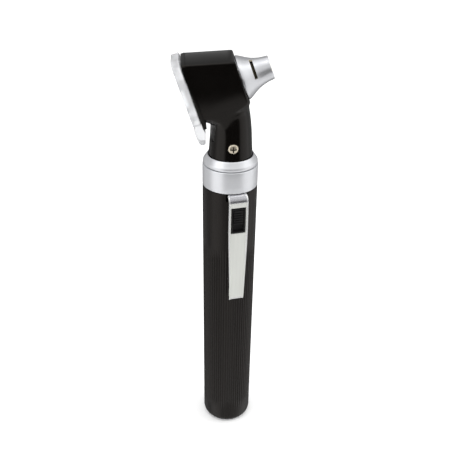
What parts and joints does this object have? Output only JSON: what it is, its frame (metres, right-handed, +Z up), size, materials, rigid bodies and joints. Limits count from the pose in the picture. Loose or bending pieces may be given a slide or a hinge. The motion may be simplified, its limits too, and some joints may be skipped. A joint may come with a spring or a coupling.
{
  "type": "otoscope",
  "caption": "Pocket otoscope: battery handle with clip and slide switch, twist-off lit head with speculum cone and swivel magnifier.",
  "frame": {"origin": "centre of the handle's flat bottom face", "axes": "+Z up the handle, +X towards the side that carries the speculum cone, the pocket clip lies near -Y"},
  "size_m": [0.0348, 0.0225, 0.1568],
  "materials": {
    "handle_plastic": "gloss black, finely fluted",
    "head_plastic": "high gloss black",
    "dark_plastic": "fine matt",
    "satin_silver": "satin anodised",
    "clip_steel": "brushed face, polished edges",
    "bright_steel": "bright",
    "brass": "plain",
    "cell_wrap": "printed film, plain",
    "white_bush": "moulded",
    "clear_acrylic": "polished clear acrylic",
    "lens_glass": "polished",
    "lamp_glass": "lit lamp"
  },
  "bodies": {
    "handle": {"handle_tube": "handle_plastic", "handle_collar": "satin_silver", "battery_lower": "cell_wrap", "battery_upper": "cell_wrap", "tail_contact": "brass", "tail_spring": "bright_steel", "contact_strip": "brass", "upper_contact": "brass", "switch_bezel": "dark_plastic"},
    "switch": {"switch_knob": "dark_plastic", "switch_slider": "brass"},
    "clip": {"pocket_clip": "clip_steel"},
    "head": {"bayonet_insert": "bright_steel", "lock_ring": "satin_silver", "contact_bush": "white_bush", "contact_pin": "brass", "contact_spring": "bright_steel", "lamp_sleeve": "brass", "lamp_base": "brass", "lamp_bulb": "lamp_glass", "light_guide": "clear_acrylic", "head_shell": "head_plastic", "neck_screw": "bright_steel", "speculum_holder": "satin_silver", "inner_sleeve": "dark_plastic", "rear_rim": "head_plastic", "pivot_screw": "bright_steel", "pivot_washer": "bright_steel"},
    "magnifier": {"magnifier_plate": "clear_acrylic", "magnifier_lens": "lens_glass"}
  },
  "joints": [
    {"name": "switch_slide", "type": "slide", "parent": "handle", "child": "switch", "axis": [0, 0, -1], "range_m": [0, 0.0027]},
    {"name": "clip_flex", "type": "hinge", "parent": "handle", "child": "clip", "pos_m": [0.00187, -0.0088, 0.111], "axis": [-0.9781, -0.2079, 0], "range_deg": [0, 4], "stiffness_Nm_per_rad": 0.4},
    {"name": "head_twist", "type": "hinge", "parent": "handle", "child": "head", "pos_m": [0, 0, 0.118], "axis": [0, 0, 1], "range_deg": [0, 60]},
    {"name": "magnifier_swivel", "type": "hinge", "parent": "head", "child": "magnifier", "pos_m": [-0.01651, 0, 0.15399], "axis": [0.9483, 0, 0.3173], "range_deg": [-95, 95]}
  ]
}
